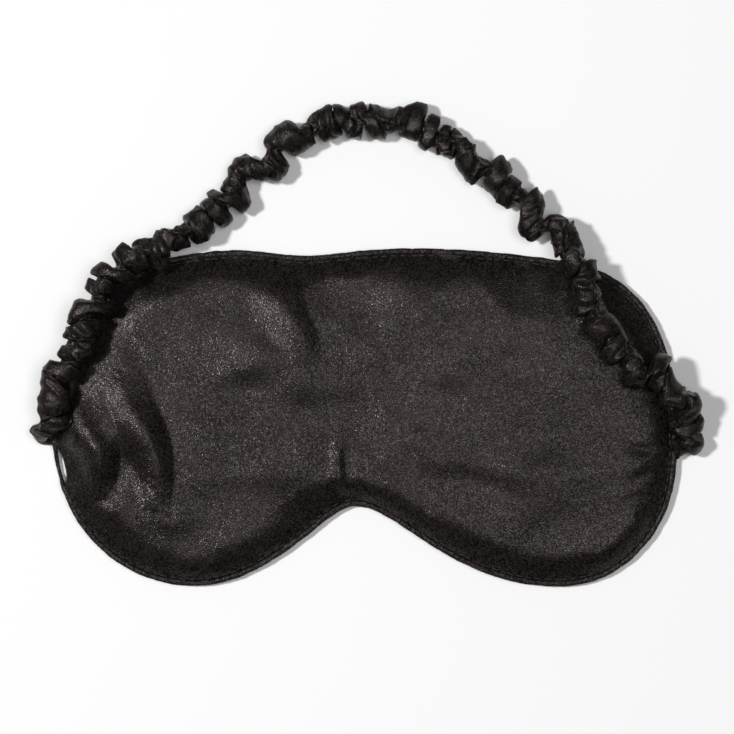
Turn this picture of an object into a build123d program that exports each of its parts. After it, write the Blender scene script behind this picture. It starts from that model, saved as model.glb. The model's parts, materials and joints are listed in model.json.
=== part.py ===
"""Satin sleep eye mask with a gathered elastic head strap.

The mask lies on its outer side with its face side up, and the strap lies back over it.
Millimetres. Origin at the centre of the footprint on the resting surface.
+X runs to the mask's right end as seen from above, +Y to its brow edge, +Z up.
"""

import os
from math import atan2, degrees, hypot, radians, tan

from build123d import *

os.makedirs("parts", exist_ok=True)

# ---- mask body ----------------------------------------------------------------------------

# Outline of the finished mask, from the left temple over the brow, down the right side and
# back under the two eye lobes, with the nose notch between them.
OUTLINE = [
    (-104.3, -4.5),
    (-97.0, 11.5),
    (-83.5, 24.2),
    (-62.0, 30.8),
    (-40.0, 32.2),
    (-23.5, 30.5),
    (-5.0, 32.0),
    (30.0, 32.6),
    (60.0, 29.6),
    (80.0, 24.4),
    (93.5, 12.5),
    (101.3, -6.0),
    (103.7, -30.0),
    (101.4, -52.0),
    (91.5, -69.0),
    (77.5, -78.8),
    (62.0, -81.3),
    (40.0, -77.2),
    (20.0, -67.0),
    (6.5, -58.2),
    (-5.5, -54.1),
    (-16.5, -60.3),
    (-33.0, -72.5),
    (-51.0, -80.2),
    (-69.0, -80.1),
    (-86.5, -72.3),
    (-100.2, -57.0),
    (-107.0, -36.0),
    (-107.6, -20.0),
]

SATIN = 0.35
LINING = 0.2
SEAM_WADDING = 0.8
SEAM_BOTTOM = 1.8
LINING_BOTTOM = SEAM_BOTTOM + SATIN
WADDING_BOTTOM = LINING_BOTTOM + LINING
WADDING_TOP = WADDING_BOTTOM + SEAM_WADDING
SEAM_TOP = WADDING_TOP + SATIN

SEAM_INSET = 0.75
SEAM_WIDTH = 3.5
SHOULDER_INSET = 9.0
CROWN_INSET = 18.0
SHOULDER_RISE = 3.2
CROWN_RISE = 4.3
MASK_TOP = SEAM_TOP + CROWN_RISE

BINDING_WIDTH = 2.1
BINDING_WALL = 0.4
BINDING_BOTTOM = SEAM_BOTTOM - BINDING_WALL
BINDING_HEIGHT = SEAM_TOP - SEAM_BOTTOM + 2 * BINDING_WALL
BINDING_CHAMFER = 0.35
FIT_GAP = 0.02

STITCH_INSET = 2.4
STITCH_PITCH = 4.0
STITCH_LENGTH = 2.6
THREAD = 0.35

# The short unsewn place at the left side, where the binding stands off the panels.
SLIT_CENTRE = (-104.9, -41.0)
SLIT_LENGTH = 11.0
SLIT_WIDTH = 1.4
SLIT_SLANT = 101.5

# ---- strap --------------------------------------------------------------------------------

SLEEVE_RADIUS = 5.25
SLEEVE_CHANNEL = (1.8, 7.0)
ELASTIC = (1.0, 6.0)
SPAN_GAP = 0.3

REST_Z = SLEEVE_RADIUS
OVER_MASK_Z = MASK_TOP + SLEEVE_RADIUS + 0.4
HINGE_Z = (WADDING_BOTTOM + WADDING_TOP) / 2
SEAM_HALF_WIDTH = 2.1
SEAM_HALF_HEIGHT = 1.2

# Strap route, from the left seam over the mask, around the loop and back to the right seam.
# Each arm is cut from the crown halfway along the run between their nearest points.
LEFT_SEAM = (-111.4, -30.5, HINGE_Z)
LEFT_ROUTE = [
    (-109.0, -21.5, OVER_MASK_Z - 2.6),
    (-103.8, -11.0, OVER_MASK_Z),
    (-96.0, 1.0, OVER_MASK_Z),
    (-92.0, 13.5, OVER_MASK_Z),
    (-84.5, 25.0, OVER_MASK_Z),
]
CROWN_ROUTE = [
    (-55.0, 43.2, REST_Z + 0.4),
    (-39.0, 59.5, REST_Z),
    (-21.0, 73.4, REST_Z),
    (1.0, 76.6, REST_Z),
    (21.0, 71.8, REST_Z),
    (38.0, 60.3, REST_Z),
    (54.5, 45.8, REST_Z + 0.4),
]
RIGHT_ROUTE = [
    (108.4, -25.5, OVER_MASK_Z - 4.2),
    (104.6, -18.0, OVER_MASK_Z - 0.8),
    (95.5, -11.0, OVER_MASK_Z),
    (85.0, -3.0, OVER_MASK_Z),
    (76.0, 9.0, OVER_MASK_Z),
    (72.3, 22.0, OVER_MASK_Z),
]
RIGHT_SEAM = (107.8, -35.0, HINGE_Z)

TAB_WIDTH = 8.0
TAB_REACH = 6.5
TAB_CLEARANCE = 0.3
BARTACK_ROWS = 6
BARTACK_PITCH = 1.3
BARTACK_LENGTH = 2.2


def rim(inset):
    """Points of the outline moved inwards by inset, square to the edge."""
    points = []
    count = len(OUTLINE)
    for i in range(count):
        before = Vector(*OUTLINE[i - 1])
        after = Vector(*OUTLINE[(i + 1) % count])
        along = (after - before).normalized()
        points.append(Vector(*OUTLINE[i]) + Vector(along.Y, -along.X) * inset)
    return points


def rim_sketch(inset, height):
    """Face bounded by the outline moved inwards by inset, at a height."""
    with BuildSketch(Plane.XY.offset(height)) as sketch:
        with BuildLine():
            Spline(*rim(inset), periodic=True)
        make_face()
    return sketch.sketch


def corner_radii(points):
    """Largest bend at each inner corner that its two runs allow."""
    radii = []
    for before, corner, after in zip(points, points[1:], points[2:]):
        run_in = Vector(*corner) - Vector(*before)
        run_out = Vector(*after) - Vector(*corner)
        turn = radians(run_in.get_angle(run_out))
        radii.append(0.45 * min(run_in.length, run_out.length) / tan(turn / 2))
    return radii


def strap_path(points):
    """Straight runs of the route joined by tangent arcs."""
    with BuildLine() as path:
        FilletPolyline(*points, radius=corner_radii(points))
    return path.wire()


def cross_plane(path, position):
    """Plane square to the path, with its own X level and its own Y upwards."""
    heading = path % position
    level = heading.cross(Vector(0, 0, 1)).normalized()
    return Plane(origin=path @ position, x_dir=level, z_dir=heading)


def cut_point(near, far):
    """Where a span ends on the run between two route points, half a gap short of its middle."""
    run = Vector(*far) - Vector(*near)
    return tuple(Vector(*near) + run.normalized() * ((run.length - SPAN_GAP) / 2))


def sleeve_span(path):
    """Round gathered sleeve with a flat upright channel for the elastic."""
    with BuildPart() as span:
        with BuildSketch(cross_plane(path, 0)):
            Circle(SLEEVE_RADIUS)
        sweep(path=path)
        with BuildSketch(cross_plane(path, 0)):
            Rectangle(*SLEEVE_CHANNEL)
        sweep(path=path, mode=Mode.SUBTRACT)
    return span.part


def elastic_span(path):
    """Flat elastic standing on edge inside the sleeve."""
    with BuildPart() as span:
        with BuildSketch(cross_plane(path, 0)):
            Rectangle(*ELASTIC)
        sweep(path=path)
    return span.part


def gathered_end(seam, path):
    """Taper of the sleeve from its flat sewn end to its full round section."""
    seam_point = Vector(*seam)
    full = cross_plane(path, 0)
    start = Plane(origin=seam_point, x_dir=full.x_dir, z_dir=full.origin - seam_point)
    with BuildPart() as taper:
        with BuildSketch(start):
            Ellipse(SEAM_HALF_WIDTH, SEAM_HALF_HEIGHT)
        with BuildSketch(full):
            Circle(SLEEVE_RADIUS)
        loft()
    return taper.part


def write(part, name):
    part.label = name
    export_step(part, f"parts/{name}.step")


def tab_slot(side, edge_x, seam_y, clearance, mode):
    """Box of a strap end where it passes through the side seam."""
    length = TAB_REACH + BINDING_WIDTH
    centre_x = edge_x - side * (length / 2 - TAB_CLEARANCE)
    with Locations((centre_x, seam_y, HINGE_Z)):
        Box(
            length + 2 * clearance,
            TAB_WIDTH + 2 * clearance,
            SEAM_WADDING - FIT_GAP,
            mode=mode,
        )


SLIT_PLANE = Plane(origin=(*SLIT_CENTRE, 0), x_dir=(1, 0, 0), z_dir=(0, 0, 1)).rotated(
    (0, 0, SLIT_SLANT)
)
LEFT_EDGE_X = -107.6
RIGHT_EDGE_X = 103.8

# ---- panels, lining and wadding -------------------------------------------------------------

with BuildPart() as outer_panel:
    loft([rim_sketch(SHOULDER_INSET, 0), rim_sketch(SEAM_WIDTH, SEAM_BOTTOM)], ruled=True)
    extrude(rim_sketch(SEAM_INSET, SEAM_BOTTOM), amount=SATIN)
    loft(
        [rim_sketch(SHOULDER_INSET, SATIN), rim_sketch(SEAM_WIDTH, LINING_BOTTOM)],
        ruled=True,
        mode=Mode.SUBTRACT,
    )
    with BuildSketch(SLIT_PLANE):
        Ellipse(SLIT_LENGTH / 2, SLIT_WIDTH / 2)
    extrude(amount=MASK_TOP, mode=Mode.SUBTRACT)

with BuildPart() as blackout_lining:
    loft(
        [rim_sketch(SHOULDER_INSET, SATIN), rim_sketch(SEAM_WIDTH, LINING_BOTTOM)],
        ruled=True,
    )
    extrude(rim_sketch(SEAM_INSET, LINING_BOTTOM), amount=LINING)
    loft(
        [
            rim_sketch(SHOULDER_INSET, SATIN + LINING),
            rim_sketch(SEAM_WIDTH, WADDING_BOTTOM),
        ],
        ruled=True,
        mode=Mode.SUBTRACT,
    )
    with BuildSketch(SLIT_PLANE):
        Ellipse(SLIT_LENGTH / 2, SLIT_WIDTH / 2)
    extrude(amount=MASK_TOP, mode=Mode.SUBTRACT)

with BuildPart() as padding:
    loft(
        [
            rim_sketch(SHOULDER_INSET, SATIN + LINING),
            rim_sketch(SEAM_WIDTH, WADDING_BOTTOM),
        ],
        ruled=True,
    )
    extrude(rim_sketch(SEAM_INSET, WADDING_BOTTOM), amount=SEAM_WADDING)
    loft(
        [
            rim_sketch(SEAM_WIDTH, WADDING_TOP),
            rim_sketch(SHOULDER_INSET, WADDING_TOP + SHOULDER_RISE),
            rim_sketch(CROWN_INSET, WADDING_TOP + CROWN_RISE),
        ],
        ruled=True,
    )
    tab_slot(-1, LEFT_EDGE_X, LEFT_SEAM[1], FIT_GAP, Mode.SUBTRACT)
    tab_slot(1, RIGHT_EDGE_X, RIGHT_SEAM[1], FIT_GAP, Mode.SUBTRACT)
    with BuildSketch(SLIT_PLANE):
        Ellipse(SLIT_LENGTH / 2, SLIT_WIDTH / 2)
    extrude(amount=MASK_TOP, mode=Mode.SUBTRACT)

with BuildPart() as face_panel:
    loft(
        [
            rim_sketch(SEAM_WIDTH, SEAM_TOP),
            rim_sketch(SHOULDER_INSET, SEAM_TOP + SHOULDER_RISE),
            rim_sketch(CROWN_INSET, SEAM_TOP + CROWN_RISE),
        ],
        ruled=True,
    )
    extrude(rim_sketch(SEAM_INSET, WADDING_TOP), amount=SATIN)
    loft(
        [
            rim_sketch(SEAM_WIDTH, WADDING_TOP),
            rim_sketch(SHOULDER_INSET, WADDING_TOP + SHOULDER_RISE),
            rim_sketch(CROWN_INSET, WADDING_TOP + CROWN_RISE),
        ],
        ruled=True,
        mode=Mode.SUBTRACT,
    )
    with BuildSketch(SLIT_PLANE):
        Ellipse(SLIT_LENGTH / 2, SLIT_WIDTH / 2)
    extrude(amount=MASK_TOP, mode=Mode.SUBTRACT)

# ---- edge binding and stitches ----------------------------------------------------------------

with BuildPart() as edge_binding:
    extrude(rim_sketch(0, BINDING_BOTTOM), amount=BINDING_HEIGHT)
    chamfer(edge_binding.edges().filter_by(GeomType.BSPLINE), length=BINDING_CHAMFER)
    extrude(rim_sketch(BINDING_WIDTH, 0), amount=MASK_TOP, mode=Mode.SUBTRACT)
    extrude(
        rim_sketch(SEAM_INSET - FIT_GAP, SEAM_BOTTOM - FIT_GAP),
        amount=SEAM_TOP - SEAM_BOTTOM + 2 * FIT_GAP,
        mode=Mode.SUBTRACT,
    )
    tab_slot(-1, LEFT_EDGE_X, LEFT_SEAM[1], 2 * FIT_GAP, Mode.SUBTRACT)
    tab_slot(1, RIGHT_EDGE_X, RIGHT_SEAM[1], 2 * FIT_GAP, Mode.SUBTRACT)
    with BuildSketch(SLIT_PLANE):
        Ellipse(SLIT_LENGTH / 2, SLIT_WIDTH / 2)
    extrude(amount=MASK_TOP, mode=Mode.SUBTRACT)

stitch_line = Spline(*rim(STITCH_INSET), periodic=True)
stitch_count = int(stitch_line.length / STITCH_PITCH)
with BuildPart() as binding_stitches:
    for i in range(stitch_count):
        position = (i + 0.4) / stitch_count
        place = stitch_line @ position
        along = stitch_line % position
        if hypot(place.X - SLIT_CENTRE[0], place.Y - SLIT_CENTRE[1]) > SLIT_LENGTH * 0.7:
            angle = degrees(atan2(along.Y, along.X))
            with Locations(Location((place.X, place.Y, SEAM_TOP), (0, 0, angle))):
                Box(
                    STITCH_LENGTH,
                    THREAD,
                    THREAD,
                    align=(Align.CENTER, Align.CENTER, Align.MIN),
                )

# ---- strap ends sewn into the side seams --------------------------------------------------------

with BuildPart() as strap_end_left:
    tab_slot(-1, LEFT_EDGE_X, LEFT_SEAM[1], 0, Mode.ADD)

with BuildPart() as strap_end_right:
    tab_slot(1, RIGHT_EDGE_X, RIGHT_SEAM[1], 0, Mode.ADD)

with BuildPart() as strap_end_stitches:
    for side, edge_x, seam_y in (
        (-1, LEFT_EDGE_X, LEFT_SEAM[1]),
        (1, RIGHT_EDGE_X, RIGHT_SEAM[1]),
    ):
        with Locations((edge_x - side * BINDING_WIDTH / 2, seam_y, SEAM_TOP + BINDING_WALL)):
            with GridLocations(0, BARTACK_PITCH, 1, BARTACK_ROWS):
                Box(
                    BARTACK_LENGTH / 2,
                    THREAD,
                    THREAD,
                    align=(Align.CENTER, Align.CENTER, Align.MIN),
                )

# ---- strap: two arms over the mask and the crown of the loop --------------------------------------

left_spine = LEFT_ROUTE + [cut_point(LEFT_ROUTE[-1], CROWN_ROUTE[0])]
right_spine = RIGHT_ROUTE + [cut_point(RIGHT_ROUTE[-1], CROWN_ROUTE[-1])]
crown_spine = [
    cut_point(CROWN_ROUTE[0], LEFT_ROUTE[-1]),
    *CROWN_ROUTE,
    cut_point(CROWN_ROUTE[-1], RIGHT_ROUTE[-1]),
]
left_path = strap_path(left_spine)
right_path = strap_path(right_spine)
crown_path = strap_path(crown_spine)

sleeve_left = sleeve_span(left_path) + gathered_end(LEFT_SEAM, left_path)
sleeve_right = sleeve_span(right_path) + gathered_end(RIGHT_SEAM, right_path)

for spine in (left_spine, crown_spine, right_spine):
    print("strap bend radii", [round(radius, 1) for radius in corner_radii(spine)])

write(outer_panel.part, "outer_panel")
write(blackout_lining.part, "blackout_lining")
write(padding.part, "padding")
write(face_panel.part, "face_panel")
write(edge_binding.part, "edge_binding")
write(binding_stitches.part, "binding_stitches")
write(strap_end_left.part, "strap_end_left")
write(strap_end_right.part, "strap_end_right")
write(strap_end_stitches.part, "strap_end_stitches")
write(sleeve_left, "sleeve_left")
write(sleeve_right, "sleeve_right")
write(sleeve_span(crown_path), "sleeve_crown")
write(elastic_span(left_path), "elastic_left")
write(elastic_span(right_path), "elastic_right")
write(elastic_span(crown_path), "elastic_crown")
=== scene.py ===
"""Satin sleep eye mask, lying face side up with its gathered strap back over it.

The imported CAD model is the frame. Each soft part is rebuilt here as cloth in the place that
its CAD solid holds. Shapes are worked out in millimetres and written out in metres.
"""

import json
import math

import bpy
import numpy as np
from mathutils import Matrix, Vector
from mathutils.geometry import delaunay_2d_cdt


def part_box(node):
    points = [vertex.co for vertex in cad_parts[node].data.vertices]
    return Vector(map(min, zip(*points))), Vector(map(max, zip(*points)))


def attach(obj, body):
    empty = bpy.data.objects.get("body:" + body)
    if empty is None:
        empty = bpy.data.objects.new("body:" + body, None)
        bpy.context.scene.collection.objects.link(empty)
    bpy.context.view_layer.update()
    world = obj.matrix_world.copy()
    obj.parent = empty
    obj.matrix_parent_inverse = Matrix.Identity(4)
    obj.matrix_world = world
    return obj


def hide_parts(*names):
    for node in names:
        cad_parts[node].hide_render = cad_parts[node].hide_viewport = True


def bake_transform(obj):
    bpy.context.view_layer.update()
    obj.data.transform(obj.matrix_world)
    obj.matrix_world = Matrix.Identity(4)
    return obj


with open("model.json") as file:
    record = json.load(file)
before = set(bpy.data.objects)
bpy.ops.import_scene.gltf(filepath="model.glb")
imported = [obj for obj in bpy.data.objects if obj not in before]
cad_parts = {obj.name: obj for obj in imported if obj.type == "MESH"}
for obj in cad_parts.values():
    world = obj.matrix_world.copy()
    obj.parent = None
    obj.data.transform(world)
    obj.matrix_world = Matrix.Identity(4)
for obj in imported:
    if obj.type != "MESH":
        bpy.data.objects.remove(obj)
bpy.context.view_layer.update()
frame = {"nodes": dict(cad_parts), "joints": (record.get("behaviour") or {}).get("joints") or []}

MM = 0.001
UP = np.array((0.0, 0.0, 1.0))


# ---- camera, floor and light ----------------------------------------------------------------

VIEW_CENTRE = (-1.0, -7.1)
VIEW_SIDE = 248.6
CAMERA_HEIGHT = 1000.0
SENSOR_WIDTH = 36
FLOOR_HALF_SIDE = 3.0
FLOOR_WHITE = 0.93
ROOM_LIGHT = 0.12

# Lights, aimed at the origin: place and side in metres, power in watts.
KEY_PLACE, KEY_SIDE, KEY_POWER = (-1.29, 0.23, 2.01), 0.24, 41.5
OVERHEAD_PLACE, OVERHEAD_SIDE, OVERHEAD_POWER = (0.34, 0.02, 1.9), 0.85, 12.6


def add_camera():
    """A camera straight above the mask, framing it with the margin of a catalogue picture."""
    data = bpy.data.cameras.new("camera")
    data.sensor_width = SENSOR_WIDTH
    data.lens = data.sensor_width * CAMERA_HEIGHT / VIEW_SIDE
    camera = bpy.data.objects.new("camera", data)
    camera.location = (VIEW_CENTRE[0] * MM, VIEW_CENTRE[1] * MM, CAMERA_HEIGHT * MM)
    bpy.context.collection.objects.link(camera)
    bpy.context.scene.camera = camera


def area_light(name, place, side, power):
    data = bpy.data.lights.new(name, "AREA")
    data.size = side
    data.energy = power
    light = bpy.data.objects.new(name, data)
    light.location = place
    aim = -Vector(place)
    light.rotation_euler = aim.to_track_quat("-Z", "Y").to_euler()
    bpy.context.collection.objects.link(light)


def add_stage():
    """Pale floor, a key light from the left and a broad soft light above."""
    mesh = bpy.data.meshes.new("floor")
    half = FLOOR_HALF_SIDE
    mesh.from_pydata(
        [(-half, -half, 0), (half, -half, 0), (half, half, 0), (-half, half, 0)],
        [],
        [(0, 1, 2, 3)],
    )
    floor = bpy.data.objects.new("floor", mesh)
    bpy.context.collection.objects.link(floor)
    mesh.materials.append(floor_material())
    area_light("key", KEY_PLACE, KEY_SIDE, KEY_POWER)
    area_light("overhead", OVERHEAD_PLACE, OVERHEAD_SIDE, OVERHEAD_POWER)
    world = bpy.data.worlds.new("studio")
    bpy.context.scene.world = world
    world.use_nodes = True
    background = world.node_tree.nodes["Background"]
    background.inputs["Color"].default_value = (1, 1, 1, 1)
    background.inputs["Strength"].default_value = ROOM_LIGHT
    bpy.context.scene.view_settings.view_transform = "Standard"


# ---- materials ------------------------------------------------------------------------------

BLACK = (0.0125, 0.0098, 0.0095)
WORN_BLACK = tuple(1.5 * c for c in BLACK)
WARM_GLINT = (1.0, 0.97, 0.91, 1.0)

# Scales of the satin's noises, per metre: yarn floats, glinting cells, slubs and wear.
FLOAT_SCALE = 3000
GLINT_SCALE = 2500
SLUB_SCALE = 420
WEAR_SCALE = 60
SLUB_TILT = 0.00005
DULL_METAL = 0.97


def new_material(name, color, roughness):
    material = bpy.data.materials.new(name)
    material.use_nodes = True
    shader = material.node_tree.nodes["Principled BSDF"]
    shader.inputs["Base Color"].default_value = (*color, 1)
    shader.inputs["Roughness"].default_value = roughness
    return material, shader


def floor_material():
    material, shader = new_material("pale_floor", (FLOOR_WHITE,) * 3, 0.9)
    shader.inputs["Specular IOR Level"].default_value = 0.0
    return material


def object_coordinates(tree):
    return tree.nodes.new("ShaderNodeTexCoord").outputs["Object"]


def noise_texture(tree, scale, detail, stretch=(1, 1, 1)):
    """Procedural noise over the object, with features of about 1/scale metres."""
    mapping = tree.nodes.new("ShaderNodeMapping")
    mapping.inputs["Scale"].default_value = stretch
    tree.links.new(object_coordinates(tree), mapping.inputs["Vector"])
    noise = tree.nodes.new("ShaderNodeTexNoise")
    noise.inputs["Scale"].default_value = scale
    noise.inputs["Detail"].default_value = detail
    tree.links.new(mapping.outputs["Vector"], noise.inputs["Vector"])
    return noise.outputs["Fac"]


def ramp(tree, value, low, high, from_low=0.35, from_high=0.65):
    """Maps a noise value onto a range."""
    node = tree.nodes.new("ShaderNodeMapRange")
    node.inputs["From Min"].default_value = from_low
    node.inputs["From Max"].default_value = from_high
    node.inputs["To Min"].default_value = low
    node.inputs["To Max"].default_value = high
    tree.links.new(value, node.inputs["Value"])
    return node.outputs["Result"]


def mixed_color(tree, factor, dark, light):
    node = tree.nodes.new("ShaderNodeMix")
    node.data_type = "RGBA"
    tree.links.new(factor, node.inputs["Factor"])
    node.inputs["A"].default_value = (*dark, 1)
    node.inputs["B"].default_value = (*light, 1)
    return node.outputs["Result"]


def bump(tree, height, distance, normal=None):
    node = tree.nodes.new("ShaderNodeBump")
    node.inputs["Distance"].default_value = distance
    tree.links.new(height, node.inputs["Height"])
    if normal is not None:
        tree.links.new(normal, node.inputs["Normal"])
    return node.outputs["Normal"]


def speckle(tree, scale):
    """A random value for each small cell of the cloth."""
    cells = tree.nodes.new("ShaderNodeTexVoronoi")
    cells.inputs["Scale"].default_value = scale
    tree.links.new(object_coordinates(tree), cells.inputs["Vector"])
    return cells.outputs["Color"]


def satin_material(name, tilt, glossy, dull, shine):
    """Black satin: some cells of yarn glint as a grain, and the dark cells between don't.

    A dark cell is metallic in the base colour, so it reflects almost nothing. tilt is the depth
    of the yarn floats in metres, and glossy and dull are the roughness at the two ends.
    """
    material, shader = new_material(name, BLACK, dull)
    tree = material.node_tree
    wear = ramp(tree, noise_texture(tree, WEAR_SCALE, 3.0), 0.0, 1.0)
    tree.links.new(mixed_color(tree, wear, BLACK, WORN_BLACK), shader.inputs["Base Color"])
    cells = speckle(tree, GLINT_SCALE)
    roughness = ramp(tree, cells, dull, glossy, 0.4, 0.7)
    tree.links.new(roughness, shader.inputs["Roughness"])
    darkness = ramp(tree, cells, DULL_METAL, 0.0, 0.42, 0.6)
    tree.links.new(darkness, shader.inputs["Metallic"])
    floats = bump(tree, noise_texture(tree, FLOAT_SCALE, 0.0), tilt)
    slubs = noise_texture(tree, SLUB_SCALE, 3.0, stretch=(1.0, 0.3, 1.0))
    tree.links.new(bump(tree, slubs, SLUB_TILT, floats), shader.inputs["Normal"])
    shader.inputs["Specular IOR Level"].default_value = shine
    shader.inputs["Specular Tint"].default_value = WARM_GLINT
    return material


def matt_material(name, dark, light, scale, depth, roughness):
    """Plain woven or fibrous cloth, with fibres of 1/scale metres raised by depth metres."""
    material, shader = new_material(name, dark, roughness)
    tree = material.node_tree
    fibres = noise_texture(tree, scale, 4.0)
    tree.links.new(
        mixed_color(tree, ramp(tree, fibres, 0.0, 1.0), dark, light),
        shader.inputs["Base Color"],
    )
    tree.links.new(bump(tree, fibres, depth), shader.inputs["Normal"])
    shader.inputs["Sheen Weight"].default_value = 0.1
    return material


# ---- the mask's outline and surfaces ----------------------------------------------------------

RIM_STEP = 0.8
RIM_SMOOTHING = 6
BINDING_CHAMFER = 0.35
BINDING_REACH = 2.2
PANEL_INSET = 1.0
SEAM_LOW = 1.8
SEAM_HIGH = 3.5
SATIN_THICKNESS = 0.35
CROWN_HEIGHT = 4.9
CROWN_POWER = 1.9
MIDDLE_SWELL = 0.7
BROAD_WAVE = 0.26
FINE_WAVE = 0.06
PUCKER_HEIGHT = 0.2
UNDERSIDE_WAVE = 0.12

# How wide the crown's slope is along the lower and the upper edge, and how much it varies.
LOW_SLOPE = 11.0
TOP_SLOPE = 19.0
SLOPE_SWAY = 0.25

# The short unsewn place in the left edge, where the binding gapes.
SLIT_CENTRE = (-104.9, -41.0)
SLIT_HALF_LENGTH = 6.2
SLIT_HALF_WIDTH = 1.3
SLIT_INSET = 1.9


def outer_loop(node):
    """Outer border of a node's flat top face, as points in order, in millimetres."""
    mesh = frame["nodes"][node].data
    top = max(v.co.z for v in mesh.vertices)
    count = {}
    for face in mesh.polygons:
        corners = [mesh.vertices[i].co for i in face.vertices]
        if min(c.z for c in corners) < top - 1e-6:
            continue
        keys = [(round(c.x, 6), round(c.y, 6)) for c in corners]
        for a, b in zip(keys, keys[1:] + keys[:1]):
            count[frozenset((a, b))] = count.get(frozenset((a, b)), 0) + 1
    neighbours = {}
    for pair, uses in count.items():
        if uses == 1 and len(pair) == 2:
            a, b = pair
            neighbours.setdefault(a, []).append(b)
            neighbours.setdefault(b, []).append(a)
    start = min(neighbours)
    loop = [start]
    previous, current = None, start
    while True:
        onward = [p for p in neighbours[current] if p != previous]
        previous, current = current, onward[0]
        if current == start:
            break
        loop.append(current)
    return np.array(loop) / MM


def resampled(loop, step):
    """Closed loop with evenly spaced points, slightly smoothed, counterclockwise."""
    closed = np.vstack([loop, loop[:1]])
    lengths = np.hypot(*np.diff(closed, axis=0).T)
    travelled = np.concatenate([[0], np.cumsum(lengths)])
    count = int(travelled[-1] / step)
    where = np.arange(count) / count * travelled[-1]
    even = np.stack([np.interp(where, travelled, closed[:, k]) for k in (0, 1)], axis=1)
    for _ in range(RIM_SMOOTHING):
        even = 0.5 * even + 0.25 * (np.roll(even, 1, 0) + np.roll(even, -1, 0))
    area = np.sum(even[:, 0] * np.roll(even[:, 1], -1) - np.roll(even[:, 0], -1) * even[:, 1])
    return even if area > 0 else even[::-1]


def inward(loop):
    """Unit directions into the mask, square to a counterclockwise loop."""
    along = np.roll(loop, -3, 0) - np.roll(loop, 3, 0)
    along /= np.linalg.norm(along, axis=1)[:, None]
    return np.stack([-along[:, 1], along[:, 0]], axis=1)


rim = resampled(outer_loop("edge_binding"), RIM_STEP)
rim = rim - inward(rim) * BINDING_CHAMFER
rim_in = inward(rim)


def slit_opening():
    """How far the unsewn place gapes at each rim point, from 0 to 1."""
    away = np.hypot(rim[:, 0] - SLIT_CENTRE[0], rim[:, 1] - SLIT_CENTRE[1])
    along = np.sqrt(np.maximum(away**2 - SLIT_INSET**2, 0)) / SLIT_HALF_LENGTH
    return np.sqrt(np.maximum(1 - along**2, 0))


slit = slit_opening()


BLOCK = 2000


def distance_to(points, targets):
    """Distance from each point to the nearest target point, and that target's index.

    It goes block by block, to keep the table of distances small.
    """
    nearest = np.empty(len(points))
    index = np.empty(len(points), dtype=int)
    for start in range(0, len(points), BLOCK):
        block = slice(start, start + BLOCK)
        gaps = points[block, None, :] - targets[None, :, :]
        squares = np.einsum("ijk,ijk->ij", gaps, gaps)
        index[block] = squares.argmin(axis=1)
        nearest[block] = np.sqrt(squares.min(axis=1))
    return nearest, index


def ripples(places, wavelength, seed, count=18):
    """Smooth random relief of unit strength made of crossed waves, in any number of axes."""
    rng = np.random.default_rng(seed)
    total = 0
    for _ in range(count):
        heading = rng.normal(size=len(places))
        heading *= 2 * math.pi / (wavelength * rng.uniform(0.7, 1.5)) / np.linalg.norm(heading)
        turn = sum(h * place for h, place in zip(heading, places))
        total = total + np.cos(turn + rng.uniform(0, 2 * math.pi))
    return total / math.sqrt(count / 2)


def smooth(value):
    """Eases from 0 to 1 as the value goes from 0 to 1."""
    value = np.clip(value, 0, 1)
    return value * value * (3 - 2 * value)


def curve_through(points, step):
    """Even points along a smooth curve through a few points, in any number of dimensions."""
    points = np.array(points, dtype=float)
    lengths = np.linalg.norm(np.diff(points, axis=0), axis=1)
    knots = np.concatenate([[0], np.cumsum(np.sqrt(lengths))])
    ends = [2 * points[0] - points[1], 2 * points[-1] - points[-2]]
    padded = np.vstack([ends[0], points, ends[1]])
    times = np.concatenate([[knots[0] - knots[1]], knots, [2 * knots[-1] - knots[-2]]])
    samples = []
    for i in range(1, len(padded) - 2):
        t = np.linspace(times[i], times[i + 1], 24, endpoint=False)[:, None]
        t0, t1, t2, t3 = times[i - 1:i + 3]
        p0, p1, p2, p3 = padded[i - 1:i + 3]
        a1 = (t1 - t) / (t1 - t0) * p0 + (t - t0) / (t1 - t0) * p1
        a2 = (t2 - t) / (t2 - t1) * p1 + (t - t1) / (t2 - t1) * p2
        a3 = (t3 - t) / (t3 - t2) * p2 + (t - t2) / (t3 - t2) * p3
        b1 = (t2 - t) / (t2 - t0) * a1 + (t - t0) / (t2 - t0) * a2
        b2 = (t3 - t) / (t3 - t1) * a2 + (t - t1) / (t3 - t1) * a3
        samples.append((t2 - t) / (t2 - t1) * b1 + (t - t1) / (t2 - t1) * b2)
    dense = np.vstack(samples + [points[-1:]])
    travelled = np.concatenate(
        [[0], np.cumsum(np.linalg.norm(np.diff(dense, axis=0), axis=1))]
    )
    where = np.linspace(0, travelled[-1], max(2, round(travelled[-1] / step)) + 1)
    columns = [np.interp(where, travelled, dense[:, k]) for k in range(points.shape[1])]
    return np.stack(columns, axis=1)


# Creases of the face satin, from their upper ends: route, height and width at each end of the
# ridge on their left side, which falls steeply to the crease and gently the other way.
CREASES = [
    (
        [(-92.5, -8.0), (-87.0, -22.0), (-83.7, -33.0), (-84.3, -43.0), (-87.5, -53.0)],
        5.3, 11.5, 4.6,
    ),
    (
        [(-81.0, 3.0), (-71.5, -19.0), (-66.5, -33.0), (-65.5, -45.0), (-67.5, -57.0)],
        4.5, 10.5, 4.4,
    ),
    (
        [(-25.5, 33.0), (-23.8, 24.0), (-21.5, 14.0), (-17.0, 2.5), (-15.8, -7.0)],
        2.1, 8.0, 5.0,
    ),
    ([(-8.6, -27.0), (-8.4, -36.0), (-7.6, -44.0), (-4.6, -50.5)], 1.1, 2.0, 3.0),
]
RIDGE_FALL = 1.7  # the gentle side's width, in widths of the steep side
ROUTE_STEP = 0.8

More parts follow.
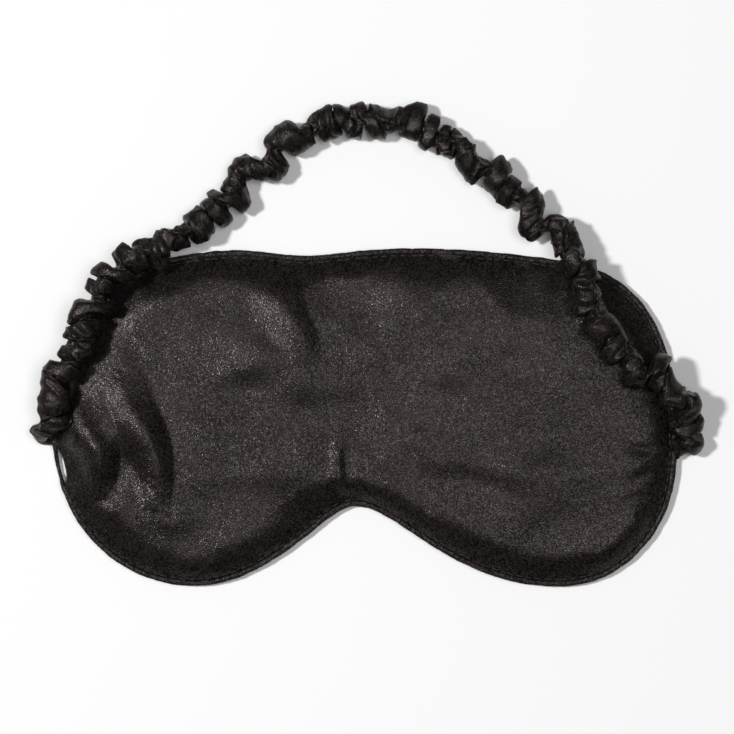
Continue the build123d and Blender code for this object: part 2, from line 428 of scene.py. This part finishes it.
# Soft folds of the face satin: route, height (down is negative), half width.
FOLDS = [
    ([(-86.0, -20.0), (-84.0, -34.0), (-80.0, -50.0)], 0.8, 4.0),
    ([(-65.0, -17.0), (-46.0, -8.5), (-29.0, -4.5), (-20.0, -14.5), (-9.0, -13.0)], 1.0, 6.0),
    ([(15.0, -15.0), (27.0, -8.5), (39.0, -14.5), (58.0, -16.5)], 0.9, 6.0),
    ([(-56.0, -44.0), (-38.0, -43.0), (-24.0, -41.0), (-20.0, -32.0), (-9.0, -25.0)], 0.9, 5.0),
    ([(2.0, -42.0), (15.0, -30.5), (22.0, -38.0), (45.0, -41.5), (86.0, -42.0)], 0.9, 4.8),
    ([(-100.0, -47.0), (-88.5, -56.0), (-78.0, -45.0)], 0.6, 3.4),
    ([(-78.0, -45.0), (-67.5, -60.0), (-56.5, -53.0)], 0.6, 3.4),
    ([(-4.5, -36.0), (-3.5, -43.0), (-1.0, -49.0)], 0.7, 2.0),
    ([(103.0, -33.0), (93.0, -35.0), (84.0, -33.5)], -0.9, 2.0),
    ([(102.5, -42.0), (94.0, -43.0), (86.0, -47.0)], -0.8, 2.0),
    ([(100.0, -52.0), (91.0, -51.0), (83.0, -54.0)], -0.7, 2.2),
    ([(-35.0, -24.0), (-14.0, -21.0), (6.0, -24.0)], -0.7, 7.0),
    ([(40.0, -27.0), (62.0, -29.0), (84.0, -26.0)], -0.7, 7.0),
]


def crease_relief(points):
    """Height that the ridges beside the creases add at each point."""
    relief = np.zeros(len(points))
    for route, height, start_width, end_width in CREASES:
        line = curve_through(route, ROUTE_STEP)
        away, index = distance_to(points, line)
        along = index / (len(line) - 1)
        heading = np.gradient(line, axis=0)[index]
        offset = points - line[index]
        beyond = heading[:, 0] * offset[:, 1] > heading[:, 1] * offset[:, 0]
        width = start_width + (end_width - start_width) * along
        steep = 1 - np.clip(1 - away / width, 0, 1) ** 1.3
        gentle = 1 - smooth((away / width - 1) / RIDGE_FALL)
        fade = np.sin(math.pi * along ** 1.25)
        relief += height * fade * np.where(beyond, 0, steep * gentle)
    return relief


def fold_relief(points):
    """Height that the soft folds add at each point."""
    relief = np.zeros(len(points))
    for route, height, half_width in FOLDS:
        line = curve_through(route, ROUTE_STEP)
        away, index = distance_to(points, line)
        along = index / (len(line) - 1)
        fade = np.sin(math.pi * (0.04 + 0.92 * along))
        relief += height * fade * np.exp(-((away / half_width) ** 1.8))
    return relief


def seam_puckers(away, index):
    """Small puckers of the face satin beside the binding, fading out into the mask."""
    along = index * RIM_STEP
    pucker = ripples((along, away * 0.25), 9, seed=13)
    pucker = pucker + 0.6 * ripples((along, away * 0.3), 4.6, seed=14)
    reach = np.clip((away - BINDING_REACH) / 1.5, 0, 1) * np.exp(-((away - 3.0) / 5.5).clip(0))
    return PUCKER_HEIGHT * pucker * reach


def face_height(points):
    """Top of the face satin: a soft crown with folds, and puckers along the seam."""
    x, y = points.T
    away, index = distance_to(points, rim)
    slope_width = LOW_SLOPE + (TOP_SLOPE - LOW_SLOPE) * smooth((y + 25) / 50)
    slope_width *= 1 + SLOPE_SWAY * ripples((x, y), 42, seed=15).clip(-1, 1.4)
    rise = np.clip((away - 1.6) / slope_width, 0, 1)
    crown = CROWN_HEIGHT * (1 - (1 - rise) ** CROWN_POWER)
    inside = smooth((away - 3.5) / 9)
    relief = fold_relief(points) * inside + crease_relief(points) * smooth((away - 2.5) / 5)
    relief += BROAD_WAVE * ripples((x, y * 1.3), 34, seed=11) * inside
    relief += MIDDLE_SWELL * smooth((away - 12) / 24)
    relief += FINE_WAVE * ripples((x, y), 13, seed=12) * inside
    relief += seam_puckers(away, index)
    return SEAM_HIGH + crown + relief


def underside_height(points):
    """Bottom of the outer satin: flat where it rests, rising to the seam at the edge."""
    away, index = distance_to(points, rim)
    rise = 1 - smooth((away - 2.5) / 9.0)
    along = index * RIM_STEP
    pucker = UNDERSIDE_WAVE * ripples((along, away * 0.25), 7, seed=23) * rise
    dimples = UNDERSIDE_WAVE * (1 + ripples(points.T, 26, seed=24)).clip(0)
    return (SEAM_LOW * rise + pucker + dimples * (1 - rise)).clip(0.02)


INNER_RING = 6.0
RING_BAND = 5.0
FACE_SPACING = 0.9
HIDDEN_SPACING = 1.6


def panel_triangles(spacing):
    """Flat triangle mesh of a panel: rings along the rim, and an even grid inside."""
    panel_edge = PANEL_INSET + slit * (SLIT_INSET + SLIT_HALF_WIDTH - PANEL_INSET)
    stride = max(1, round(spacing / RIM_STEP))
    picked = slice(0, len(rim) - len(rim) % stride, stride)
    rings = []
    for share in np.linspace(0, 1, max(3, round(RING_BAND / spacing) + 1)):
        inset = panel_edge + share * (INNER_RING - panel_edge)
        rings.append((rim + rim_in * inset[:, None])[picked])
    low, high = rim.min(axis=0), rim.max(axis=0)
    row_step = spacing * math.sqrt(3) / 2
    grid = []
    for row, y in enumerate(np.arange(low[1], high[1], row_step)):
        offset = spacing / 2 * (row % 2)
        for x in np.arange(low[0] + offset, high[0], spacing):
            grid.append((x, y))
    grid = np.array(grid)
    away, index = distance_to(grid, rim)
    side = np.einsum("ij,ij->i", grid - rim[index], rim_in[index])
    grid = grid[(side > 0) & (away > INNER_RING + spacing * 0.7)]
    points = np.vstack(rings + [grid])
    border = list(range(len(rings[0])))
    flat, _, faces, _, _, _ = delaunay_2d_cdt(
        [Vector(p) for p in points], [], [border], 1, 1e-6
    )
    return np.array([tuple(v) for v in flat]), [tuple(f) for f in faces]


def border_edges(faces):
    """Directed edges that belong to one face only."""
    edges = set()
    for face in faces:
        for a, b in zip(face, face[1:] + face[:1]):
            edges.add((a, b))
    return [(a, b) for a, b in edges if (b, a) not in edges]


def new_object(name, vertices_mm, faces, material):
    mesh = bpy.data.meshes.new(name)
    mesh.from_pydata((np.asarray(vertices_mm) * MM).tolist(), [], faces)
    mesh.update()
    mesh.polygons.foreach_set("use_smooth", [True] * len(mesh.polygons))
    piece = bpy.data.objects.new(name, mesh)
    bpy.context.collection.objects.link(piece)
    if material:
        mesh.materials.append(material)
    return piece


def closed_layer(name, flat, faces, top, bottom, material):
    """Closed solid between two heights over a flat triangle mesh."""
    count = len(flat)
    vertices = np.vstack([np.column_stack([flat, top]), np.column_stack([flat, bottom])])
    under = [tuple(count + i for i in reversed(face)) for face in faces]
    sides = [(b, a, count + a, count + b) for a, b in border_edges(faces)]
    return new_object(name, vertices, faces + under + sides, material)


# ---- the strap ------------------------------------------------------------------------------

# The strap's route, as in the CAD, from its left seam round to its right seam.
STRAP_ROUTE = [
    (-105.0, -30.5, 2.9),
    (-108.6, -30.0, 3.6),
    (-109.6, -25.5, 7.0),
    (-107.6, -19.0, 11.6),
    (-102.6, -10.5, 13.2),
    (-96.2, 1.0, 13.4),
    (-92.3, 13.5, 13.4),
    (-84.5, 24.6, 12.8),
    (-70.0, 33.6, 9.4),
    (-55.0, 43.0, 6.0),
    (-39.0, 59.2, 5.3),
    (-21.0, 73.0, 5.2),
    (1.0, 75.8, 5.2),
    (21.0, 71.4, 5.2),
    (38.0, 60.2, 5.3),
    (54.5, 45.8, 6.0),
    (64.6, 35.4, 9.4),
    (72.0, 22.0, 12.9),
    (76.0, 9.0, 13.4),
    (85.0, -3.0, 13.4),
    (95.5, -11.0, 13.2),
    (104.4, -17.6, 12.0),
    (108.4, -25.0, 8.0),
    (106.8, -33.2, 3.8),
    (101.6, -35.0, 2.9),
]
STRAP_STEP = 0.42
SECTION_POINTS = 56
TUBE_RADIUS = 4.5
SHORTEST_LOBE_PAIR = 6.4
LOBE_PAIR_SPREAD = 9.0
LOBE_LEAN = 0.9
WRINKLE_PITCH = 4.4

# Half sizes of the sleeve's core, and how far its lobes reach out sideways and upwards.
CORE_WIDTH = 2.3
CORE_HEIGHT = 2.5
SIDE_REACH, LEAST_SIDE_REACH, MOST_SIDE_REACH = 2.7, 1.2, 4.6
OVER_REACH, LEAST_OVER_REACH, MOST_OVER_REACH = 2.0, 0.8, 3.2

# Where the left arm ends and the loop starts, and where the loop ends and the right arm starts.
LEFT_CUT = (-69.8, 34.1)
RIGHT_CUT = (63.4, 33.9)

# The sleeve is sewn flat into the seams, and grows to its full size over the root length.
ROOT_LENGTH = 9.0
FLAT_END_WIDTH = 3.6
FLAT_END_HEIGHT = 0.55
RIGHT_END_SWAY = 2.4
LEFT_END_SWAY = 2.4

# What holds the sleeve up, and how much of its overlap with that is left. It goes into the seam
# where the strap is lower than the tab height.
BINDING_TOP = 4.0
MASK_SUPPORT = 3.9
TAB_HEIGHT = 5.1
SUPPORT_GAP = 0.15
PRESSED_SHARE = 0.04

# The sleeve relaxes as cloth at a larger scale, where the solver is steady.
CLOTH_SCALE = 20
CLOTH_EXCESS = 0.12
CLOTH_FRAMES = 14
CLOTH_CAP = 1.0

# Counted in stations along the strap.
ELASTIC_INSET = 33
ROOT_STATION = 38
ROOT_BEND = 13.0  # millimetres from the hinge towards an arm's root, for a bend that is worked out but not applied


def lobe_phase(length, step, seed):
    """Running phase of the gathers, one turn per pair of lobes of uneven length."""
    rng = np.random.default_rng(seed)
    stations = np.arange(0, length + step, step)
    places = [0.0]
    while places[-1] < length + 20:
        places.append(places[-1] + SHORTEST_LOBE_PAIR + LOBE_PAIR_SPREAD * rng.uniform() ** 2)
    turns = np.arange(len(places)) * 2 * math.pi
    return np.interp(stations, places, turns)


def distance_from_valley(phase):
    """0 where the phase is in a valley between two gathers, 1 on the crest of a gather."""
    return np.abs(np.mod(phase, 2 * math.pi) - math.pi) / math.pi


def arch(tent):
    """Round crests that meet in sharp valleys."""
    return np.sqrt(1 - (1 - tent) ** 2.4)


def strap_frame(route):
    """Points along the strap with their headings and level sideways directions."""
    line = curve_through(route, STRAP_STEP)
    heading = np.gradient(line, axis=0)
    heading /= np.linalg.norm(heading, axis=1)[:, None]
    side = np.cross(heading, UP)
    side /= np.linalg.norm(side, axis=1)[:, None]
    lift = np.cross(side, heading)
    return line, heading, side, lift


def lobes(travelled, along, across, over):
    """Phase of the lobes over the sleeve, and each point's nearness to a crest, from 0 to 1."""
    tube_x, tube_y = TUBE_RADIUS * across, TUBE_RADIUS * over
    turn = lobe_phase(travelled[-1], STRAP_STEP, seed=5)[:len(travelled), None]
    alternate = 1.0 + 0.45 * ripples((travelled,), 30, seed=31)[:, None]
    phase = turn * np.ones_like(along) + math.pi * alternate * (0.5 - 0.5 * across)
    phase = phase + 0.75 * ripples((along, tube_x, tube_y), 14, seed=32)
    phase = phase + 0.2 * ripples((along, tube_x, tube_y), 6, seed=33)
    return phase, distance_from_valley(phase)


def crumple(along, across, over):
    """Small wrinkles, creases and fine creases over the lobes."""
    x, y = TUBE_RADIUS * across, TUBE_RADIUS * over
    phase = 2 * math.pi * along / WRINKLE_PITCH + 1.6 * ripples((along, x, y), 11, seed=40)
    wrinkled = smooth(0.45 + 0.5 * ripples((along, x, y), 12, seed=36))
    wrinkle = wrinkled * (arch(distance_from_valley(phase)) - 0.6)
    creases = ripples((along, x * 0.35, y * 0.35), 5.0, seed=37)
    fine_creases = ripples((along, x * 0.25, y * 0.25), 2.8, seed=38)
    crease = 1 - np.abs(creases).clip(0, 1.5)
    fine_crease = 1 - np.abs(fine_creases).clip(0, 1.5)
    return 0.7 * wrinkle + 0.55 * crease + 0.2 * fine_crease


def gathered_surface():
    """Rings of the gathered sleeve: lobes that lean out to alternate sides, creased between."""
    line, heading, side, lift = strap_frame(STRAP_ROUTE)
    travelled = np.arange(len(line)) * STRAP_STEP
    length = travelled[-1]
    angle = np.arange(SECTION_POINTS) / SECTION_POINTS * 2 * math.pi
    along, around = np.meshgrid(travelled, angle, indexing="ij")
    across, over = np.cos(around), np.sin(around)
    tube_x, tube_y = TUBE_RADIUS * across, TUBE_RADIUS * over

    phase, tent = lobes(travelled, along, across, over)
    gap = 0.17 + 0.08 * ripples((travelled,), 17, seed=39)[:, None]
    finger = smooth((tent - gap) / 0.5)
    relief = crumple(along, across, over)

    from_end = np.minimum(along, length - along)
    near_ends = np.exp(-(((from_end - 15) / 8) ** 2))
    at_right = np.exp(-(((length - travelled - 14) / 9) ** 2))[:, None]
    at_left = np.exp(-(((travelled - 10) / 8) ** 2))[:, None]
    reach_side = SIDE_REACH + 0.65 * ripples((along, tube_x), 18, seed=34) + 1.1 * near_ends
    reach_side = (reach_side - 1.6 * at_right).clip(LEAST_SIDE_REACH, MOST_SIDE_REACH)
    reach_over = OVER_REACH + 0.6 * ripples((along, tube_y), 12, seed=35)
    reach_over = reach_over.clip(LEAST_OVER_REACH, MOST_OVER_REACH)
    full_width = CORE_WIDTH + reach_side * finger + relief
    full_height = CORE_HEIGHT + reach_over * arch(tent) + relief
    lean = LOBE_LEAN * np.sin(phase) * finger
    sway = 0.8 * ripples((travelled,), 15, seed=42)[:, None] * (1 - at_right)
    sway = sway + RIGHT_END_SWAY * at_right + LEFT_END_SWAY * at_left

    grow = smooth(from_end / ROOT_LENGTH)
    width = FLAT_END_WIDTH + (full_width - FLAT_END_WIDTH) * grow
    height = FLAT_END_HEIGHT + (full_height - FLAT_END_HEIGHT) * grow
    points = (
        line[:, None, :]
        + side[:, None, :] * (across * width + sway * grow)[..., None]
        + lift[:, None, :] * (over * height)[..., None]
        + heading[:, None, :] * (lean * grow)[..., None]
    )
    return line, travelled, points


def softened(points, passes):
    """Evens out the sleeve's surface; its two end rings are evened only round themselves."""
    for _ in range(passes):
        around = (np.roll(points, 1, axis=1) + np.roll(points, -1, axis=1)) / 2
        ahead = points.copy()
        ahead[1:-1] = (points[:-2] + points[2:]) / 2
        points = 0.5 * points + 0.25 * around + 0.25 * ahead
    return points


def settle(points, line):
    """Keeps the sleeve on top of the mask and the floor, flattened where it rests."""
    flat = points.reshape(-1, 3)
    away, index = distance_to(flat[:, :2], rim)
    inside = np.einsum("ij,ij->i", flat[:, :2] - rim[index], rim_in[index]) > 0
    support = np.where(inside, BINDING_TOP, 0.0)
    support = np.where(inside & (away > BINDING_REACH), face_height(flat[:, :2]), support)
    sewn_in = np.repeat(line[:, 2] < TAB_HEIGHT, points.shape[1]) & (support > MASK_SUPPORT)
    bottom = np.where(sewn_in, 0.0, support) + SUPPORT_GAP
    low = flat[:, 2] < bottom
    flat[low, 2] = bottom[low] + PRESSED_SHARE * (flat[low, 2] - bottom[low])
    flat[:, 2] = np.maximum(flat[:, 2], SUPPORT_GAP * 0.4)
    return flat.reshape(points.shape)


def underneath(around):
    """Index of the lowest of the points round a section."""
    return round(around * 0.75)


def relax(points):
    """Lets the gathered sleeve relax as cloth with a little more fabric than it has room for.

    It is held along its underside and at its ends, and moves by the cloth cap at most.
    """
    count, around = points.shape[:2]
    piece = tube("relaxing_sleeve", points * CLOTH_SCALE, None)
    held = piece.vertex_groups.new(name="held")
    low = underneath(around)
    fixed = [i * around + j for i in range(count) for j in (low - 2, low, low + 2)]
    fixed += [i * around + j for i in (0, count - 1) for j in range(around)]
    held.add(fixed, 1.0, "REPLACE")
    cloth = piece.modifiers.new("cloth", "CLOTH")
    settings = cloth.settings
    settings.quality = 5
    settings.mass = 0.2
    settings.tension_stiffness = 6
    settings.compression_stiffness = 6
    settings.shear_stiffness = 2
    settings.bending_stiffness = 0.02
    settings.shrink_min = -CLOTH_EXCESS
    settings.vertex_group_mass = "held"
    settings.effector_weights.gravity = 0
    cloth.collision_settings.use_collision = False
    cloth.point_cache.frame_end = CLOTH_FRAMES
    scene = bpy.context.scene
    for step in range(1, CLOTH_FRAMES + 1):
        scene.frame_set(step)
    shaped = piece.evaluated_get(bpy.context.evaluated_depsgraph_get())
    places = np.array([v.co[:] for v in shaped.data.vertices]) / MM / CLOTH_SCALE
    bpy.data.objects.remove(piece)
    scene.frame_set(1)
    moved = places.reshape(points.shape) - points
    size = np.linalg.norm(moved, axis=2, keepdims=True)
    return points + moved * np.minimum(1, CLOTH_CAP / np.maximum(size, 1e-6))


def band_faces(count, columns, around):
    """Faces between neighbouring rings of points, where each ring is one row of columns.

    With as many columns as faces around, each ring closes on itself.
    """
    faces = []
    for i in range(count - 1):
        for j in range(around):
            k = (j + 1) % columns
            near, far = i * columns, (i + 1) * columns
            faces.append((near + j, near + k, far + k, far + j))
    return faces


def tube(name, rings, material, shut=False):
    """Tube through rings of points, with both ends shut or both open."""
    count, around = rings.shape[:2]
    vertices = rings.reshape(-1, 3)
    faces = band_faces(count, around, around)
    if shut:
        first, last = len(vertices), len(vertices) + 1
        base = (count - 1) * around
        vertices = np.vstack([vertices, rings[0].mean(axis=0), rings[-1].mean(axis=0)])
        faces += [((j + 1) % around, j, first) for j in range(around)]
        faces += [(base + j, base + (j + 1) % around, last) for j in range(around)]
    return new_object(name, vertices, faces, material)


def rolled_strip(name, rings, material):
    """Strip of cloth rolled into a tube, with its two long edges meeting underneath."""
    count, around = rings.shape[:2]
    opened = np.roll(rings, -underneath(around), axis=1)
    opened = np.concatenate([opened, opened[:, :1]], axis=1)
    faces = band_faces(count, around + 1, around)
    return new_object(name, opened.reshape(-1, 3), faces, material)


def nearest_station(line, place):
    """Index of the strap's point nearest to a place seen from above."""
    return int(np.hypot(line[:, 0] - place[0], line[:, 1] - place[1]).argmin())


# ---- building -------------------------------------------------------------------------------

BINDING_HALF_WIDTH = 1.08
BINDING_HALF_HEIGHT = 1.22
SLIT_NARROWING = 0.46
SLIT_THINNING = 0.5
SLIT_DIP = 1.5
BINDING_MIDDLE = (SEAM_LOW + SEAM_HIGH) / 2
BINDING_SECTION = 16


def make_binding(material):
    """Satin tape folded over the edge, a little uneven, and narrow and low where it gapes."""
    travelled = np.arange(len(rim)) * RIM_STEP
    angles = np.arange(BINDING_SECTION) / BINDING_SECTION * 2 * math.pi
    rings = []
    for angle in angles:
        c, s = math.cos(angle), math.sin(angle)
        uneven = 0.05 * ripples((travelled, 3 * s, 3 * c), 5, seed=41)
        uneven += 0.04 * ripples((travelled, 3 * s, 3 * c), 2.6, seed=42)
        half = BINDING_HALF_WIDTH - SLIT_NARROWING * slit
        inset = half + (half + uneven) * np.sign(c) * abs(c) ** 0.8
        half_height = BINDING_HALF_HEIGHT - SLIT_THINNING * slit**2 + uneven
        middle = BINDING_MIDDLE - SLIT_DIP * slit**2
        height = middle + half_height * np.sign(s) * abs(s) ** 0.75
        rings.append(np.column_stack([rim + rim_in * inset[:, None], height]))
    rings = np.stack(rings, axis=1)
    count = len(rim)
    faces = []
    for i in range(count):
        here, onward = i * BINDING_SECTION, (i + 1) % count * BINDING_SECTION
        for j in range(BINDING_SECTION):
            k = (j + 1) % BINDING_SECTION
            faces.append((here + j, onward + j, onward + k, here + k))
    binding = new_object("edge_tape", rings.reshape(-1, 3), faces, material)
    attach(binding, "mask")
    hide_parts("edge_binding")


STITCH_PITCH = 3.2
STITCH_LENGTH = 2.3
TACK_PITCH = 1.3
TACK_LENGTH = 1.5
TACKS = 6
THREAD_RADIUS = 0.17
THREAD_BOW = 0.2
THREAD_RINGS = 7
THREAD_SIDES = 6


def thread_stitch(centre, along, length):
    """One short stitch: a thread that dips into the cloth at both ends."""
    side = np.cross(along, UP)
    points = []
    for t in np.linspace(-1, 1, THREAD_RINGS):
        middle = centre + along * t * length / 2 + UP * (THREAD_BOW * (1 - t * t) - 0.12)
        thick = THREAD_RADIUS * math.sqrt(max(0.12, 1 - t**4))
        for k in range(THREAD_SIDES):
            a = k / THREAD_SIDES * 2 * math.pi
            points.append(middle + side * thick * math.cos(a) + UP * thick * math.sin(a))
    band = band_faces(THREAD_RINGS, THREAD_SIDES, THREAD_SIDES)
    faces = [(a, d, c, b) for a, b, c, d in band]
    faces.append(tuple(range(THREAD_SIDES)))
    faces.append(tuple(reversed(range(len(points) - THREAD_SIDES, len(points)))))
    return np.array(points), faces


def make_stitches(name, places, material, node):
    """A row of stitches as one piece that stands for a node."""
    vertices, faces, base = [], [], 0
    for centre, along, length in places:
        points, sides = thread_stitch(centre, along, length)
        vertices.append(points)
        faces += [tuple(base + i for i in f) for f in sides]
        base += len(points)
    piece = new_object(name, np.vstack(vertices), faces, material)
    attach(piece, "mask")
    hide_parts(node)


def seam_stitch_places():
    """Stitch row just inside the binding, left out where the slit gapes."""
    rng = np.random.default_rng(51)
    total = len(rim) * RIM_STEP
    places = []
    for k in range(int(total / STITCH_PITCH)):
        i = int((k + rng.uniform(-0.06, 0.06)) * STITCH_PITCH / RIM_STEP) % len(rim)
        window = [(i + n) % len(rim) for n in range(-3, 4)]
        if slit[window].max() > 0:
            continue
        flat = rim[i] + rim_in[i] * rng.uniform(2.45, 2.6)
        along = np.array((rim_in[i][1], -rim_in[i][0], 0.0))
        height = face_height(flat[None, :])[0]
        places.append((np.array((*flat, height)), along, STITCH_LENGTH))
    return places


def tack_places():
    """Short tacks across the binding where each strap end is sewn in."""
    height = BINDING_MIDDLE + BINDING_HALF_HEIGHT
    places = []
    for node, side in (("strap_end_left", 0), ("strap_end_right", 1)):
        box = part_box(node)
        x = box[side][0] / MM
        middle_y = (box[0][1] + box[1][1]) / 2 / MM
        for k in range(TACKS):
            y = middle_y + (k - (TACKS - 1) / 2) * TACK_PITCH
            i = int(np.hypot(rim[:, 0] - x, rim[:, 1] - y).argmin())
            flat = rim[i] + rim_in[i] * 1.1
            across = np.array((*rim_in[i], 0.0))
            places.append((np.array((*flat, height)), across, TACK_LENGTH))
    return places


# Heights above the underside, and the wadding's distance below the top of the face satin.
LINING_LIFT, LINING_TOP = 0.4, 0.6
WADDING_LIFT, WADDING_LEAST_TOP, WADDING_GAP = 0.65, 0.75, 0.9


def make_layers(satin):
    """The two satin panels with the lining and the wadding between them."""
    lining = matt_material(
        "lining_cloth",
        dark=(0.015, 0.015, 0.017),
        light=(0.03, 0.03, 0.032),
        scale=900,
        depth=0.0001,
        roughness=0.8,
    )
    wadding = matt_material(
        "wadding_fill",
        dark=(0.7, 0.7, 0.68),
        light=(0.86, 0.86, 0.84),
        scale=260,
        depth=0.0004,
        roughness=0.95,
    )
    flat, faces = panel_triangles(FACE_SPACING)
    top = face_height(flat)
    face = closed_layer("face_satin", flat, faces, top, top - SATIN_THICKNESS, satin)
    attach(face, "mask")
    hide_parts("face_panel")

    flat, faces = panel_triangles(HIDDEN_SPACING)
    low = underside_height(flat)
    core_top = np.maximum(face_height(flat) - WADDING_GAP, low + WADDING_LEAST_TOP)
    layers = (
        ("outer_satin", low + SATIN_THICKNESS, low, satin, "satin", "outer_panel", 0.45),
        (
            "lining_sheet", low + LINING_TOP, low + LINING_LIFT,
            lining, "lining", "blackout_lining", 0.1,
        ),
        ("wadding_core", core_top, low + WADDING_LIFT, wadding, "wadding", "padding", 0.45),
    )
    for name, top, bottom, material, slot, node, fill in layers:
        layer = closed_layer(name, flat, faces, top, bottom, material)
        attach(layer, "mask")
        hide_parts(node)


def let_bend(piece, line, start, end):
    """Bakes the piece's placement into its mesh; the bend at an arm's root is worked out but not
    applied.
    """
    middle = int(line[:, 1].argmax())
    if middle in (start, end):
        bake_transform(piece)
        return
    root = ROOT_STATION if end < middle else len(line) - 1 - ROOT_STATION
    swing = frame["joints"][0]
    hinge, axis = np.array(swing["pos_m"]), np.array(swing["axis"])
    hinge = hinge + axis * (line[root][0] * MM - hinge[0]) / axis[0]
    toward = line[root] * MM - hinge
    toward *= ROOT_BEND * MM / np.linalg.norm(toward)
    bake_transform(piece)


# Half of the elastic's section, across and up, and its size at its ends.
ELASTIC_CORNERS = [(0.4, 2.3), (0.24, 2.55), (-0.24, 2.55), (-0.4, 2.3)]
ELASTIC_END_SHARE = 0.45


def elastic_rings(line):
    """Sections of the flat elastic, standing on edge inside the sleeve, narrower by its ends."""
    _, _, side, lift = strap_frame(STRAP_ROUTE)
    section = ELASTIC_CORNERS + [(-a, -b) for a, b in ELASTIC_CORNERS]
    stations = np.arange(len(line))
    from_end = np.minimum(stations, len(line) - 1 - stations) * STRAP_STEP
    size = ELASTIC_END_SHARE + (1 - ELASTIC_END_SHARE) * smooth((from_end - 15) / 12)
    size = size[:, None]
    return np.stack([line + (side * a + lift * b) * size for a, b in section], axis=1)


def make_strap():
    """The gathered sleeve and the elastic inside it, each in two arms and two loop halves."""
    ruffle = satin_material("strap_satin", tilt=0.0001, glossy=0.22, dull=0.4, shine=0.22)
    rubber = matt_material(
        "elastic_web",
        dark=(0.02, 0.02, 0.022),
        light=(0.05, 0.05, 0.052),
        scale=700,
        depth=0.0002,
        roughness=0.7,
    )
    line, travelled, rings = gathered_surface()
    rings = settle(rings, line)
    rings = settle(softened(relax(rings), 1), line)
    left_cut = nearest_station(line, LEFT_CUT)
    right_cut = nearest_station(line, RIGHT_CUT)
    middle = int(line[:, 1].argmax())
    last = len(line) - 1
    spans = (
        ("sleeve_arm_left", 0, left_cut, ("sleeve_left", "strap_end_left")),
        ("sleeve_loop_left", left_cut, middle, ("sleeve_crown",)),
        ("sleeve_loop_right", middle, right_cut, ("sleeve_crown",)),
        ("sleeve_arm_right", right_cut, last, ("sleeve_right", "strap_end_right")),
    )
    for name, start, end, nodes in spans:
        piece = rolled_strip(name, rings[start:end + 1], ruffle)
        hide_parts(*nodes)
        let_bend(piece, line, start, end)

    web_spans = (
        ("elastic_arm_left", ELASTIC_INSET, left_cut, "elastic_left"),
        ("elastic_loop_left", left_cut, middle, "elastic_crown"),
        ("elastic_loop_right", middle, right_cut, "elastic_crown"),
        ("elastic_arm_right", right_cut, last - ELASTIC_INSET, "elastic_right"),
    )
    web = elastic_rings(line)
    for name, start, end, node in web_spans:
        piece = tube(name, web[start:end + 1], rubber, shut=True)
        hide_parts(node)
        let_bend(piece, line, start, end)


def build():
    satin = satin_material("face_satin", tilt=0.00011, glossy=0.2, dull=0.37, shine=0.29)
    tape = satin_material("tape_satin", tilt=0.00015, glossy=0.4, dull=0.6, shine=0.35)
    thread = matt_material(
        "thread",
        dark=(0.005, 0.004, 0.004),
        light=(0.016, 0.014, 0.013),
        scale=1800,
        depth=0.00008,
        roughness=0.6,
    )
    make_layers(satin)
    make_binding(tape)
    make_stitches("seam_stitches", seam_stitch_places(), thread, "binding_stitches")
    make_stitches("tack_stitches", tack_places(), thread, "strap_end_stitches")
    make_strap()


add_camera()
add_stage()
build()
